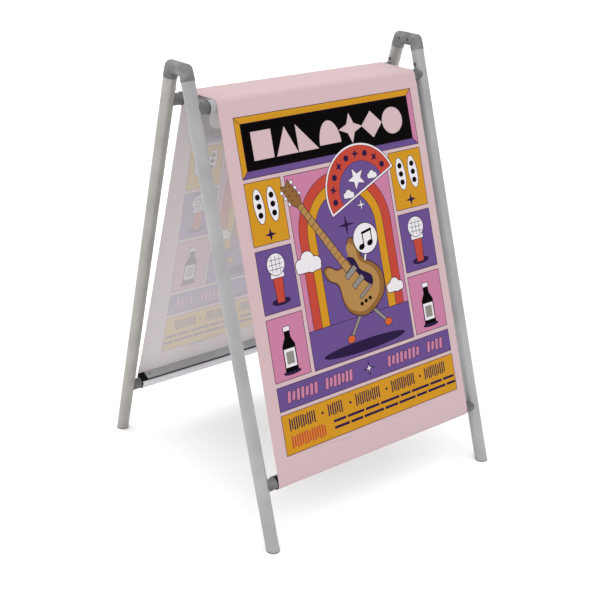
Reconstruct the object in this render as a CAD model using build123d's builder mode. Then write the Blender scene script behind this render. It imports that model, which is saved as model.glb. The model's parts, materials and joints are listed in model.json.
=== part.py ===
from build123d import *
import os
from math import atan2, cos, degrees, radians, sin

# Folding sandwich board. Two frames of round tube are hinged together at the
# top, and one length of banner fabric runs down the front, over both top bars
# and down the rear. Millimetres. X runs across the board, with the board's
# left at -X as seen from the front. The front faces -Y and +Z is up.
# The origin is on the floor, midway between the four feet.

# ---------------------------------------------------------------- dimensions
# Frame as a whole
OPEN_ANGLE = 34.26          # between the two frames when open, degrees
LEG_SPACING = 684.0         # between the leg axes, across the board
LEG_LENGTH = 1089.5         # along a leg's axis, from the floor to the elbow
ELBOW_SPREAD = 74.9         # between front and rear leg axes at the elbows' lower ends

# Leg tubes and their feet
LEG_OD = 32.0
LEG_WALL = 1.5
FOOT_RIM = 3.5              # height of the foot's level rim
FOOT_PLUG = 30.0            # how far the foot reaches up into the tube
PUSH_CLEAR = 0.1            # radial clearance of plugs and spigots in their tubes

# Elbows and the hinge between them
ELBOW_LIP = 1.0             # elbow's lower end beyond the leg's surface
ELBOW_DRAFT = 1.0           # how far the elbow narrows from its lower end to its barrel
HINGE_RISE = 22.9           # hinge axis above the elbows' lower ends
HINGE_OFFSET = 15.6         # hinge axis in front of the board's middle
HINGE_GAP = 0.3             # between knuckle and elbow body, and at the open stop
TONGUE_WIDTH = 12.0
TONGUE_SIDE_GAP = 0.25      # on each side of the tongue, in its slot
TONGUE_INSET = 3.5          # tongue's round end inside the elbow's outline
TONGUE_END_GAP = 0.5        # round the tongue's end
CORE_HEIGHT = 16.0          # moulded core behind the tongue
CORE_END = 6.0              # how far the core passes the tie screw's axis
PIN_RADIUS = 3.0
PIN_SEAT_CLEAR = 0.03       # hinge pin in the rear elbow's cheeks
PIN_RUN_CLEAR = 0.06        # hinge pin in the front elbow's tongue
PIN_RECESS = 2.2            # pin's and tie screw's ends below the elbow's surface
PIN_FLOOR = 5.0             # material left beyond the blind end of the pin's hole
TIE_SCREW_RADIUS = 1.7
TIE_HEAD_RADIUS = 2.8
TIE_HEAD_HEIGHT = 2.4
TIE_CLEAR = 0.1

# Spigots under the elbows, and the spring buttons that lock the legs on
SPIGOT_NUT_GAP = 3.0        # spigot's end to the insert for the top saddle's bolt
SPIGOT_WALL = 2.4
SPIGOT_BORE_RISE = 6.0      # the spigot's bore runs this far into the elbow
BUTTON_DROP = 35.5          # button below the elbow's lower end
BUTTON_RADIUS = 4.0
BUTTON_RUN_CLEAR = 0.06     # button in the spigot
BUTTON_LEG_CLEAR = 0.3      # button in the leg's hole
BUTTON_PROUD = 2.6          # button's dome beyond the leg's surface
BUTTON_DOME = 2.0
BUTTON_FLANGE_RADIUS = 5.5
BUTTON_FLANGE = 1.4
BUTTON_FLANGE_CLEAR = 0.3
SPRING_THICKNESS = 0.8
SPRING_WIDTH = 7.0
SPRING_REACH = 15.0         # spring's bend below the button
SPRING_PAD = 4.5            # half length of the spring's pad behind the button
SPRING_WALL_CLEAR = 0.3

# Saddles that carry the bars and rails on the legs, and their fasteners
SADDLE_OD = 29.0
SADDLE_REACH = 36.0         # leg axis to the saddle's end
SADDLE_SEAT_CLEAR = 0.05    # saddle's cope on the leg
SOCKET_RADIUS = 10.0
SOCKET_DEPTH = 11.0
TENON_LENGTH = 9.0
TENON_CLEAR = 0.1
TENON_BORE_RADIUS = 7.0
BOLT_RADIUS = 3.0
BOLT_HOLE_CLEAR = 0.3
BOLT_HEAD_RADIUS = 6.0
BOLT_HEAD_HEIGHT = 3.6
BOLT_DEPTH = 8.0            # bolt's tip inside the leg's inner wall
NUT_RADIUS = 4.5
NUT_HOLE_CLEAR = 0.1
NUT_THREAD_CLEAR = 0.05
NUT_DEPTH = 9.0             # insert's end inside the leg's inner wall
NUT_SINK = 0.15             # insert's outer end below the leg's surface
NUT_COLLAR_RADIUS = 6.0
NUT_COLLAR = 2.0
NUT_COLLAR_CLEAR = 0.2      # collar's rim to the tube's inner wall

# Round bars at the top
TOP_DROP = 62.0             # top bar's axis below the elbow's lower end
BAR_OD = 32.0
BAR_WALL = 1.8
PLUG_RIM = 1.5              # thin ring between a bar's end and its saddle
PLUG_LENGTH = 25.0

# Bottom rails, with a groove that grips the banner
RAIL_STATION = 151.0        # rail's axis, along the leg from the floor
RAIL_RADIUS = 16.0          # round underside, and half the rail's depth
RAIL_OUTER_RISE = 18.4      # square outer top corner above the axis
RAIL_INNER_RISE = 12.0      # inner top corner above the axis
RAIL_WALL = 1.8
CAP_LENGTH = 20.0           # black cap between the rail's end and its saddle
CAP_PLUG = 26.0
CAP_CLEAR = 0.1
GROOVE_WIDTH = 5.6
GROOVE_DEPTH = 7.0
GROOVE_EDGE = 3.4           # lip between the groove and the rail's inner face
SPLINE_WIDTH = 4.0
SPLINE_HEIGHT = 6.0
RAIL_SCREW_INSET = 13.0     # screw from the rail's end
RAIL_SCREW_SIDE = -6.0      # screw's place across the top face
RAIL_SCREW_RADIUS = 1.8
RAIL_SCREW_CLEAR = 0.1
RAIL_SCREW_LENGTH = 9.0
RAIL_SCREW_HEAD_RADIUS = 3.4
RAIL_SCREW_HEAD = 1.8

# Banner
BANNER_MARGIN = 1.0         # banner's edge to the saddle's end
BANNER_THICKNESS = 0.6
BANNER_GAP = 0.1            # fabric's inner face to the metal under it
BANNER_TAIL = 3.2           # how deep the fabric's edge sits in the groove

# ------------------------------------------------------------- worked out
splay = radians(OPEN_ANGLE / 2)
leg_radius = LEG_OD / 2
leg_bore = leg_radius - LEG_WALL
leg_x = LEG_SPACING / 2
foot_reach = ELBOW_SPREAD / 2 + LEG_LENGTH * sin(splay)

elbow_radius = leg_radius + ELBOW_LIP
barrel_radius = elbow_radius - ELBOW_DRAFT
hinge_z = LEG_LENGTH * cos(splay) + HINGE_RISE
hinge_y = -HINGE_OFFSET
elbow_station = hinge_z / cos(splay)
elbow_y = foot_reach - elbow_station * sin(splay)
tie_screw_y = HINGE_OFFSET
tongue_slot = TONGUE_WIDTH + 2 * TONGUE_SIDE_GAP
tongue_radius = barrel_radius - TONGUE_INSET
slot_radius = tongue_radius + TONGUE_END_GAP
knuckle_cut = barrel_radius + HINGE_GAP

spigot_radius = leg_bore - PUSH_CLEAR
spigot_bore = spigot_radius - SPIGOT_WALL
spigot_length = TOP_DROP - NUT_COLLAR_RADIUS - SPIGOT_NUT_GAP
button_station = LEG_LENGTH - BUTTON_DROP
button_tip = leg_radius + BUTTON_PROUD
button_seat = (spigot_bore**2 - BUTTON_FLANGE_RADIUS**2) ** 0.5 - BUTTON_FLANGE_CLEAR
button_back = button_seat - BUTTON_FLANGE

saddle_end = leg_x - SADDLE_REACH
top_station = LEG_LENGTH - TOP_DROP
bolt_tip = leg_bore - BOLT_DEPTH
nut_end = leg_bore - NUT_DEPTH
nut_face = (leg_radius**2 - NUT_RADIUS**2) ** 0.5 - NUT_SINK
tenon_radius = SOCKET_RADIUS - TENON_CLEAR
bar_radius = BAR_OD / 2
bar_end = saddle_end - PLUG_RIM
rail_end = saddle_end - CAP_LENGTH
groove_inner = RAIL_RADIUS - GROOVE_EDGE
groove_outer = groove_inner - GROOVE_WIDTH
rail_top_slope = (RAIL_INNER_RISE - RAIL_OUTER_RISE) / (2 * RAIL_RADIUS)

banner_width = 2 * (saddle_end - BANNER_MARGIN)
fabric_mid = BANNER_GAP + BANNER_THICKNESS / 2


def rail_top(y):
    """Height of the rail's sloping top face above the rail's axis."""
    return RAIL_OUTER_RISE + (y + RAIL_RADIUS) * rail_top_slope


# Each frame has its own plane: origin on the floor midway between its feet,
# x across the board, y towards the other frame, and z up along the legs.
# The rear frame is the front frame turned half a turn about the vertical.
front_plane = Plane(origin=(0, -foot_reach, 0), x_dir=(1, 0, 0), z_dir=(0, sin(splay), cos(splay)))
rear_plane = Plane(origin=(0, foot_reach, 0), x_dir=(-1, 0, 0), z_dir=(0, -sin(splay), cos(splay)))
FRAMES = (("front", front_plane, 1), ("rear", rear_plane, -1))
SIDES = (("left", -1), ("right", 1))

os.makedirs("parts", exist_ok=True)


def save(piece, name):
    """Labels a finished piece and writes it out."""
    piece.part.label = name
    export_step(piece.part, f"parts/{name}.step")


def inward(frame, side, along, station):
    """Plane square to the board's width, `along` from the leg's axis towards the board's middle.

    Its z points from the leg towards the middle, and its y up the leg.
    """
    origin = frame.from_local_coords(Vector(side * (leg_x - along), 0, station))
    return Plane(origin=origin, x_dir=frame.y_dir * -side, z_dir=frame.x_dir * -side)


def across(frame, x, station):
    """Plane square to the board's width at x, its own x inward and its y up the leg."""
    origin = frame.from_local_coords(Vector(x, 0, station))
    return Plane(origin=origin, x_dir=frame.y_dir, z_dir=frame.x_dir)


# --------------------------------------------------------------- legs, feet
def make_leg(name, frame, side):
    with BuildPart() as leg:
        with BuildSketch(frame.offset(-FOOT_PLUG)):
            with Locations((side * leg_x, 0)):
                Circle(leg_radius)
                Circle(leg_bore, mode=Mode.SUBTRACT)
        extrude(amount=LEG_LENGTH + FOOT_PLUG)
        split(bisect_by=Plane.XY.offset(FOOT_RIM), keep=Keep.TOP)
        with BuildSketch(inward(frame, side, 0, button_station)):
            Circle(BUTTON_RADIUS + BUTTON_LEG_CLEAR)
        extrude(amount=LEG_OD, mode=Mode.SUBTRACT)
        for station in (RAIL_STATION, top_station):
            with BuildSketch(inward(frame, side, 0, station)):
                Circle(NUT_RADIUS + NUT_HOLE_CLEAR)
            extrude(amount=LEG_OD, mode=Mode.SUBTRACT)
    save(leg, name)


def make_foot(name, frame, side):
    with BuildPart() as foot:
        with BuildSketch(frame.offset(-FOOT_PLUG)):
            with Locations((side * leg_x, 0)):
                Circle(leg_radius)
        extrude(amount=2 * FOOT_PLUG)
        split(bisect_by=Plane.XY.offset(FOOT_RIM), keep=Keep.BOTTOM)
        with BuildSketch(frame):
            with Locations((side * leg_x, 0)):
                Circle(leg_bore - PUSH_CLEAR)
        extrude(amount=FOOT_PLUG)
        split(bisect_by=Plane.XY, keep=Keep.TOP)
    save(foot, name)


# ------------------------------------------------------------------- elbows
def elbow_socket(frame, side):
    """Adds an elbow's body over its leg, with a ball at the corner."""
    with BuildSketch(frame.offset(LEG_LENGTH)) as section:
        with Locations((side * leg_x, 0)):
            Circle(elbow_radius)
    rise = elbow_station - LEG_LENGTH
    extrude(section.sketch, amount=rise, taper=degrees(atan2(ELBOW_DRAFT, rise)))
    with Locations(frame.from_local_coords(Vector(side * leg_x, 0, elbow_station))):
        Sphere(barrel_radius)


def elbow_spigot(frame, side):
    """Adds the hollow spigot that enters the leg, with its button hole."""
    with BuildSketch(frame.offset(LEG_LENGTH - spigot_length)) as outside:
        with Locations((side * leg_x, 0)):
            Circle(spigot_radius)
    extrude(outside.sketch, amount=spigot_length)
    with BuildSketch(frame.offset(LEG_LENGTH - spigot_length)) as bore:
        with Locations((side * leg_x, 0)):
            Circle(spigot_bore)
    extrude(bore.sketch, amount=spigot_length + SPIGOT_BORE_RISE, mode=Mode.SUBTRACT)
    with BuildSketch(inward(frame, side, 0, button_station)) as hole:
        Circle(BUTTON_RADIUS + BUTTON_RUN_CLEAR)
    extrude(hole.sketch, amount=LEG_OD, mode=Mode.SUBTRACT)


def hinge_section(x):
    """Plane square to the hinge axis at x, its origin on that axis, y rearward and z up."""
    return Plane(origin=(x, hinge_y, hinge_z), x_dir=(0, 1, 0), z_dir=(1, 0, 0))


def make_front_elbow(name, side):
    x = side * leg_x
    with BuildPart() as elbow:
        elbow_socket(front_plane, side)
        # The rear elbow's knuckle turns in this hollow. The slanting part
        # clears its underside when the board is folded flat.
        with BuildSketch(hinge_section(x)):
            Circle(knuckle_cut)
            with Locations((-knuckle_cut, 0)):
                Rectangle(3 * knuckle_cut, 2 * knuckle_cut, align=(Align.MIN, Align.MIN))
            with Locations(Location((0, 0), -OPEN_ANGLE)):
                Rectangle(2 * knuckle_cut, knuckle_cut, align=(Align.MIN, Align.MAX))
        extrude(amount=2 * barrel_radius, both=True, mode=Mode.SUBTRACT)
        # Tongue, with a root whose underside stays clear of the folding knuckle
        root_start = barrel_radius + 2 * HINGE_GAP + PIN_RADIUS
        root_y = tongue_radius * sin(2 * splay)
        root_z = tongue_radius * cos(2 * splay)
        with BuildSketch(hinge_section(x)):
            Circle(tongue_radius)
            with BuildLine():
                Polyline(
                    (0, tongue_radius),
                    (-root_start, tongue_radius - PIN_RADIUS),
                    (-root_start, -root_z),
                    (-root_y, -root_z),
                    (0, 0),
                    close=True,
                )
            make_face()
            Circle(PIN_RADIUS + PIN_RUN_CLEAR, mode=Mode.SUBTRACT)
        extrude(amount=TONGUE_WIDTH / 2, both=True)
        elbow_spigot(front_plane, side)
    save(elbow, name)


def make_rear_elbow(name, side):
    x = side * leg_x
    inner_x = x - side * barrel_radius
    pin_end_x = x + side * (barrel_radius - PIN_FLOOR)
    with BuildPart() as elbow:
        elbow_socket(rear_plane, -side)
        # Barrel forward to the hinge. Its end is square above the axis, where
        # it stops against the front elbow, and round below it.
        with BuildSketch(Plane(origin=(x, elbow_y, hinge_z), x_dir=(1, 0, 0), z_dir=(0, -1, 0))):
            Circle(barrel_radius)
        extrude(amount=elbow_y - hinge_y + barrel_radius)
        with BuildSketch(hinge_section(x)):
            Rectangle(2 * barrel_radius, 2 * barrel_radius, align=(Align.MAX, Align.MAX))
            Circle(barrel_radius, mode=Mode.SUBTRACT)
        extrude(amount=2 * barrel_radius, both=True, mode=Mode.SUBTRACT)
        # Slot for the tongue, open forward and down, with a core behind it
        core_length = tie_screw_y - hinge_y + CORE_END
        with BuildSketch(hinge_section(x)):
            Circle(slot_radius)
            with Locations((0, slot_radius)):
                Rectangle(2 * barrel_radius, 3 * barrel_radius, align=(Align.MAX, Align.MAX))
            Rectangle(core_length, CORE_HEIGHT, align=(Align.MIN, Align.CENTER))
        extrude(amount=tongue_slot / 2, both=True, mode=Mode.SUBTRACT)
        # Blind holes for the hinge pin and the tie screw, from the inner side
        with BuildSketch(hinge_section(inner_x)):
            Circle(PIN_RADIUS + PIN_SEAT_CLEAR)
        extrude(amount=pin_end_x - inner_x, mode=Mode.SUBTRACT)
        with BuildSketch(hinge_section(inner_x)):
            with Locations((tie_screw_y - hinge_y, 0)):
                Circle(TIE_SCREW_RADIUS + TIE_CLEAR)
        extrude(amount=pin_end_x - inner_x, mode=Mode.SUBTRACT)
        with BuildSketch(hinge_section(inner_x)):
            with Locations((tie_screw_y - hinge_y, 0)):
                Circle(TIE_HEAD_RADIUS + TIE_CLEAR)
        extrude(amount=side * (PIN_RECESS + TIE_HEAD_HEIGHT), mode=Mode.SUBTRACT)
        elbow_spigot(rear_plane, -side)
    save(elbow, name)


def make_hinge_pin(name, side):
    start_x = side * (leg_x - barrel_radius + PIN_RECESS)
    length = 2 * barrel_radius - PIN_RECESS - PIN_FLOOR - TIE_CLEAR
    with BuildPart() as pin:
        with BuildSketch(hinge_section(start_x)):
            Circle(PIN_RADIUS)
        extrude(amount=side * length)
        chamfer(pin.edges().filter_by(GeomType.CIRCLE), length=PIN_RADIUS / 8)
    save(pin, name)


def make_tie_screws():
    """One screw in each rear elbow, drawing its two cheeks together beside the tongue."""
    tie_y = tie_screw_y - hinge_y
    with BuildPart() as screws:
        for _, side in SIDES:
            head_x = side * (leg_x - barrel_radius + PIN_RECESS)
            with BuildSketch(hinge_section(head_x)):
                with Locations((tie_y, 0)):
                    Circle(TIE_HEAD_RADIUS)
            extrude(amount=side * TIE_HEAD_HEIGHT)
            with BuildSketch(hinge_section(head_x)):
                with Locations((tie_y, 0)):
                    Circle(TIE_SCREW_RADIUS)
            extrude(amount=side * (2 * barrel_radius - PIN_RECESS - PIN_FLOOR - TIE_CLEAR))
            with BuildSketch(hinge_section(head_x)):
                with Locations((tie_y, 0)):
                    RegularPolygon(TIE_HEAD_RADIUS / 2, 6)
            extrude(amount=side * TIE_HEAD_HEIGHT / 2, mode=Mode.SUBTRACT)
    save(screws, "tie_screws")


# ----------------------------------------------------------- spring buttons
def make_button(name, frame, side):
    back = inward(frame, side, button_back, button_station)
    with BuildPart() as button:
        with BuildSketch(back):
            Circle(BUTTON_RADIUS)
        extrude(amount=button_tip - button_back)
        rims = button.edges().filter_by(GeomType.CIRCLE).sort_by(Axis(back.origin, back.z_dir))
        fillet(rims[-1], radius=BUTTON_DOME)
        with BuildSketch(back):
            Circle(BUTTON_FLANGE_RADIUS)
        extrude(amount=BUTTON_FLANGE)
    save(button, name)


def make_spring(name, frame, side):
    """Leaf bent to a narrow V: one arm behind the button, the other on the spigot's far wall."""
    front_arm = button_back - SPRING_THICKNESS / 2
    rear_arm = -((spigot_bore**2 - (SPRING_WIDTH / 2) ** 2) ** 0.5) + SPRING_WALL_CLEAR + SPRING_THICKNESS
    bend = (front_arm + rear_arm) / 2
    # On this plane x runs from the leg's axis towards the board's middle, and y up the leg
    origin = frame.from_local_coords(Vector(side * leg_x, 0, button_station))
    leaf_plane = Plane(origin=origin, x_dir=frame.x_dir * -side, z_dir=frame.y_dir * side)
    with BuildPart() as spring:
        with BuildSketch(leaf_plane):
            with BuildLine():
                Polyline(
                    (front_arm, SPRING_PAD),
                    (front_arm, -SPRING_PAD),
                    (bend, -SPRING_REACH),
                    (rear_arm, -SPRING_PAD),
                    (rear_arm, SPRING_PAD),
                )
            trace(line_width=SPRING_THICKNESS)
        extrude(amount=SPRING_WIDTH / 2, both=True)
    save(spring, name)


# ------------------------------------------------- saddles and their bolts
def make_saddle(name, frame, side, station):
    with BuildPart() as saddle:
        with BuildSketch(inward(frame, side, 0, station)):
            Circle(SADDLE_OD / 2)
        extrude(amount=SADDLE_REACH)
        with BuildSketch(inward(frame, side, 0, station)):
            Circle(BOLT_RADIUS + BOLT_HOLE_CLEAR)
        extrude(amount=SADDLE_REACH, mode=Mode.SUBTRACT)
        with BuildSketch(inward(frame, side, SADDLE_REACH - SOCKET_DEPTH, station)):
            Circle(SOCKET_RADIUS)
        extrude(amount=SOCKET_DEPTH, mode=Mode.SUBTRACT)
        # Cope over the leg
        with BuildSketch(frame.offset(station - SADDLE_OD)):
            with Locations((side * leg_x, 0)):
                Circle(leg_radius + SADDLE_SEAT_CLEAR)
        extrude(amount=2 * SADDLE_OD, mode=Mode.SUBTRACT)
    save(saddle, name)


def make_saddle_bolts(name, frame):
    """Button-head screws inside the saddles, through the legs' inner walls."""
    head_start = SADDLE_REACH - SOCKET_DEPTH
    with BuildPart() as bolts:
        for side in (-1, 1):
            for station in (RAIL_STATION, top_station):
                with BuildSketch(inward(frame, side, head_start, station)):
                    Circle(BOLT_HEAD_RADIUS)
                    RegularPolygon(BOLT_RADIUS * 0.7, 6, mode=Mode.SUBTRACT)
                extrude(amount=BOLT_HEAD_HEIGHT)
                with BuildSketch(inward(frame, side, bolt_tip, station)):
                    Circle(BOLT_RADIUS)
                extrude(amount=head_start - bolt_tip + BOLT_HEAD_HEIGHT / 3)
    save(bolts, name)


def make_rivet_nuts(name, frame):
    """Threaded inserts set in the legs' inner walls, one for each saddle bolt."""
    collar_end = (leg_bore**2 - NUT_COLLAR_RADIUS**2) ** 0.5 - NUT_COLLAR_CLEAR
    with BuildPart() as nuts:
        for side in (-1, 1):
            for station in (RAIL_STATION, top_station):
                with BuildSketch(inward(frame, side, nut_end, station)):
                    Circle(NUT_RADIUS)
                extrude(amount=nut_face - nut_end)
                with BuildSketch(inward(frame, side, collar_end - NUT_COLLAR, station)):
                    Circle(NUT_COLLAR_RADIUS)
                extrude(amount=NUT_COLLAR)
                with BuildSketch(inward(frame, side, 0, station)):
                    Circle(BOLT_RADIUS + NUT_THREAD_CLEAR)
                extrude(amount=leg_radius, mode=Mode.SUBTRACT)
    save(nuts, name)


# ------------------------------------------------------ top bars, plugs
def make_top_bar(name, frame):
    with BuildPart() as bar:
        with BuildSketch(across(frame, 0, top_station)):
            Circle(bar_radius)
            Circle(bar_radius - BAR_WALL, mode=Mode.SUBTRACT)
        extrude(amount=bar_end, both=True)
    save(bar, name)


def make_top_plug(name, frame, side):
    """Plug in a bar's end: a thin rim, a spigot in the bar and a tenon in the saddle."""
    with BuildPart() as plug:
        with BuildSketch(inward(frame, side, SADDLE_REACH, top_station)):
            Circle(bar_radius)
        extrude(amount=PLUG_RIM)
        with BuildSketch(inward(frame, side, SADDLE_REACH, top_station)):
            Circle(bar_radius - BAR_WALL - PUSH_CLEAR)
        extrude(amount=PLUG_RIM + PLUG_LENGTH)
        with BuildSketch(inward(frame, side, SADDLE_REACH - TENON_LENGTH, top_station)):
            Circle(tenon_radius)
        extrude(amount=TENON_LENGTH)
        with BuildSketch(inward(frame, side, SADDLE_REACH - TENON_LENGTH, top_station)):
            Circle(TENON_BORE_RADIUS)
        extrude(amount=TENON_LENGTH + PLUG_RIM + PLUG_LENGTH, mode=Mode.SUBTRACT)
    save(plug, name)


# --------------------------------------------- bottom rails, caps, splines
def rail_outline():
    """Adds the rail's outer section: round below, square outer corner, top sloping inward."""
    with BuildLine() as outline:
        ThreePointArc((-RAIL_RADIUS, 0), (0, -RAIL_RADIUS), (RAIL_RADIUS, 0))
        Polyline(
            (RAIL_RADIUS, 0),
            (RAIL_RADIUS, RAIL_INNER_RISE),
            (-RAIL_RADIUS, RAIL_OUTER_RISE),
            (-RAIL_RADIUS, 0),
        )
    make_face(outline.edges())


def groove_cut(margin, mode):
    """Groove's section, grown on its sides and floor by a margin."""
    floor = rail_top(groove_inner) - GROOVE_DEPTH - margin
    with Locations((groove_outer - margin, floor)):
        Rectangle(
            GROOVE_WIDTH + 2 * margin,
            2 * RAIL_RADIUS,
            align=(Align.MIN, Align.MIN),
            mode=mode,
        )


def make_rail(name, frame):
    with BuildPart() as rail:
        with BuildSketch(across(frame, 0, RAIL_STATION)):
            rail_outline()
            groove_cut(0, Mode.SUBTRACT)
        extrude(amount=rail_end, both=True)
        with BuildSketch(across(frame, 0, RAIL_STATION)):
            rail_outline()
            offset(amount=-RAIL_WALL, mode=Mode.REPLACE)
            groove_cut(RAIL_WALL, Mode.SUBTRACT)
        extrude(amount=rail_end, both=True, mode=Mode.SUBTRACT)
        for side in (-1, 1):
            with BuildSketch(rail_screw_plane(frame, side)):
                Circle(RAIL_SCREW_RADIUS + RAIL_SCREW_CLEAR)
            extrude(amount=-2 * RAIL_WALL, mode=Mode.SUBTRACT)
    save(rail, name)


def rail_screw_plane(frame, side):
    """Plane on the rail's top face at an end screw, its z out of the face."""
    place = Vector(
        side * (rail_end - RAIL_SCREW_INSET), RAIL_SCREW_SIDE, RAIL_STATION + rail_top(RAIL_SCREW_SIDE)
    )
    up = frame.z_dir - frame.y_dir * rail_top_slope
    return Plane(origin=frame.from_local_coords(place), x_dir=frame.x_dir, z_dir=up)


def make_rail_cap(name, frame, side):
    """Cap on a rail's end: it has the rail's section, a plug in the rail and a tenon."""
    with BuildPart() as cap:
        with BuildSketch(across(frame, side * rail_end, RAIL_STATION)):
            rail_outline()
            groove_cut(0, Mode.SUBTRACT)
        extrude(amount=side * CAP_LENGTH)
        with BuildSketch(across(frame, side * rail_end, RAIL_STATION)):
            rail_outline()
            offset(amount=-RAIL_WALL - CAP_CLEAR, mode=Mode.REPLACE)
            groove_cut(RAIL_WALL + CAP_CLEAR, Mode.SUBTRACT)
        extrude(amount=-side * CAP_PLUG)
        with BuildSketch(inward(frame, side, SADDLE_REACH - TENON_LENGTH, RAIL_STATION)):
            Circle(tenon_radius)
        extrude(amount=TENON_LENGTH)
        with BuildSketch(inward(frame, side, SADDLE_REACH - TENON_LENGTH, RAIL_STATION)):
            Circle(TENON_BORE_RADIUS)
        extrude(amount=2 * TENON_LENGTH, mode=Mode.SUBTRACT)
        with BuildSketch(rail_screw_plane(frame, side)):
            Circle(RAIL_SCREW_RADIUS + RAIL_SCREW_CLEAR / 2)
        extrude(amount=-RAIL_SCREW_LENGTH - RAIL_SCREW_CLEAR, mode=Mode.SUBTRACT)
    save(cap, name)


def make_rail_screws(name, frame):
    with BuildPart() as screws:
        for side in (-1, 1):
            with BuildSketch(rail_screw_plane(frame, side)):
                Circle(RAIL_SCREW_HEAD_RADIUS)
            extrude(amount=RAIL_SCREW_HEAD, taper=20)
            with BuildSketch(rail_screw_plane(frame, side).offset(RAIL_SCREW_HEAD)):
                RegularPolygon(RAIL_SCREW_RADIUS, 6)
            extrude(amount=-RAIL_SCREW_HEAD * 0.7, mode=Mode.SUBTRACT)
            with BuildSketch(rail_screw_plane(frame, side)):
                Circle(RAIL_SCREW_RADIUS)
            extrude(amount=-RAIL_SCREW_LENGTH)
    save(screws, name)


def make_spline(name, frame):
    """Flexible strip pressed into the groove beside the fabric's edge."""
    floor = rail_top(groove_inner) - GROOVE_DEPTH + BANNER_GAP
    with BuildPart() as spline:
        with BuildSketch(across(frame, 0, RAIL_STATION)):
            with Locations((groove_outer + BANNER_GAP + SPLINE_WIDTH / 2, floor + SPLINE_HEIGHT / 2)):
                RectangleRounded(SPLINE_WIDTH, SPLINE_HEIGHT, SPLINE_WIDTH * 0.45)
        extrude(amount=banner_width / 2, both=True)
    save(spline, name)


# ------------------------------------------------------------------ banner
def make_banner_panel(name, frame):
    """Banner from the rail's groove, round the rail and up to the top of the bar."""
    wrap = RAIL_RADIUS + fabric_mid
    bar_wrap = bar_radius + fabric_mid
    climb = top_station - RAIL_STATION
    edge_y = groove_inner - fabric_mid
    lip = rail_top(groove_inner)
    half = (radians(90) - splay) / 2
    with BuildPart() as banner:
        with BuildSketch(across(frame, 0, RAIL_STATION)):
            with BuildLine():
                Polyline(
                    (edge_y, lip - BANNER_TAIL),
                    (edge_y, lip + fabric_mid),
                    (wrap, RAIL_INNER_RISE + fabric_mid),
                    (wrap, 0),
                )
                ThreePointArc((wrap, 0), (0, -wrap), (-wrap, 0))
                Line((-wrap, 0), (-bar_wrap, climb))
                ThreePointArc(
                    (-bar_wrap, climb),
                    (-bar_wrap * cos(half), climb + bar_wrap * sin(half)),
                    (-bar_wrap * sin(splay), climb + bar_wrap * cos(splay)),
                )
            trace(line_width=BANNER_THICKNESS)
        extrude(amount=banner_width / 2, both=True)
        # Square end over the bar, upright through the bar's axis
        bar_axis = frame.from_local_coords(Vector(0, 0, top_station))
        turn = 1 if frame.y_dir.Y > 0 else -1
        over_bar = Plane(origin=bar_axis, x_dir=(1, 0, 0), z_dir=(0, turn, 0))
        split(bisect_by=over_bar, keep=Keep.BOTTOM)
    save(banner, name)


def make_banner_top():
    """Level stretch of banner between the two top bars."""
    half_span = foot_reach - top_station * sin(splay)
    height = top_station * cos(splay) + bar_radius + BANNER_GAP
    with BuildPart() as banner:
        with BuildSketch(Plane.XY.offset(height)):
            Rectangle(banner_width, 2 * half_span)
        extrude(amount=BANNER_THICKNESS)
    save(banner, "banner_top")


# -------------------------------------------------------------- the board
for side_name, side in SIDES:
    make_front_elbow(f"front_elbow_{side_name}", side)
    make_rear_elbow(f"rear_elbow_{side_name}", side)
    make_hinge_pin(f"hinge_pin_{side_name}", side)
make_tie_screws()

for frame_name, frame, turn in FRAMES:
    for side_name, side in SIDES:
        hand = side * turn
        make_leg(f"{frame_name}_leg_{side_name}", frame, hand)
        make_foot(f"{frame_name}_foot_{side_name}", frame, hand)
        make_button(f"{frame_name}_snap_button_{side_name}", frame, hand)
        make_spring(f"{frame_name}_snap_spring_{side_name}", frame, hand)
        make_saddle(f"{frame_name}_top_saddle_{side_name}", frame, hand, top_station)
        make_saddle(f"{frame_name}_bottom_saddle_{side_name}", frame, hand, RAIL_STATION)
        make_top_plug(f"{frame_name}_bar_plug_{side_name}", frame, hand)
        make_rail_cap(f"{frame_name}_rail_cap_{side_name}", frame, hand)
    make_top_bar(f"{frame_name}_top_bar", frame)
    make_rail(f"{frame_name}_bottom_rail", frame)
    make_saddle_bolts(f"{frame_name}_saddle_bolts", frame)
    make_rivet_nuts(f"{frame_name}_rivet_nuts", frame)
    make_rail_screws(f"{frame_name}_rail_screws", frame)
    make_spline(f"{frame_name}_banner_spline", frame)
    make_banner_panel(f"{frame_name}_banner", frame)
make_banner_top()
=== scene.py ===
import json
import math

import bpy
import numpy as np
from mathutils import Matrix, Vector
from mathutils.geometry import delaunay_2d_cdt


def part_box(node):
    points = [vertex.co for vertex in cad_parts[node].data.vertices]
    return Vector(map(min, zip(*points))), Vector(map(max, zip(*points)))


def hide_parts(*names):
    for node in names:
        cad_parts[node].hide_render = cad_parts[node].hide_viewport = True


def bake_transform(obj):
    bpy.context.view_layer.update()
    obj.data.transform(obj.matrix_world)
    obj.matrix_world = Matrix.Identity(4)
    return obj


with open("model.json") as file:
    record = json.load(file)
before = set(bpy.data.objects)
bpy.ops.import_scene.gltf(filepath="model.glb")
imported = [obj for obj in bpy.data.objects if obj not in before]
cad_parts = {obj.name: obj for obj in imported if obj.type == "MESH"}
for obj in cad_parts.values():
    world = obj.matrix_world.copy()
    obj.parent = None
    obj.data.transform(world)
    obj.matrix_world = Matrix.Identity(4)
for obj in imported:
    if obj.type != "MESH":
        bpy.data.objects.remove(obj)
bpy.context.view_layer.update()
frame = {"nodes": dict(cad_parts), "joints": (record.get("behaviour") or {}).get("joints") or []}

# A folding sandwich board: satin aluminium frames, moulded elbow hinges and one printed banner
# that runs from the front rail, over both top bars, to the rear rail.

MM = 0.001

# ---------------------------------------------------------------------------------------------
# Facts of the frame
# ---------------------------------------------------------------------------------------------

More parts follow.
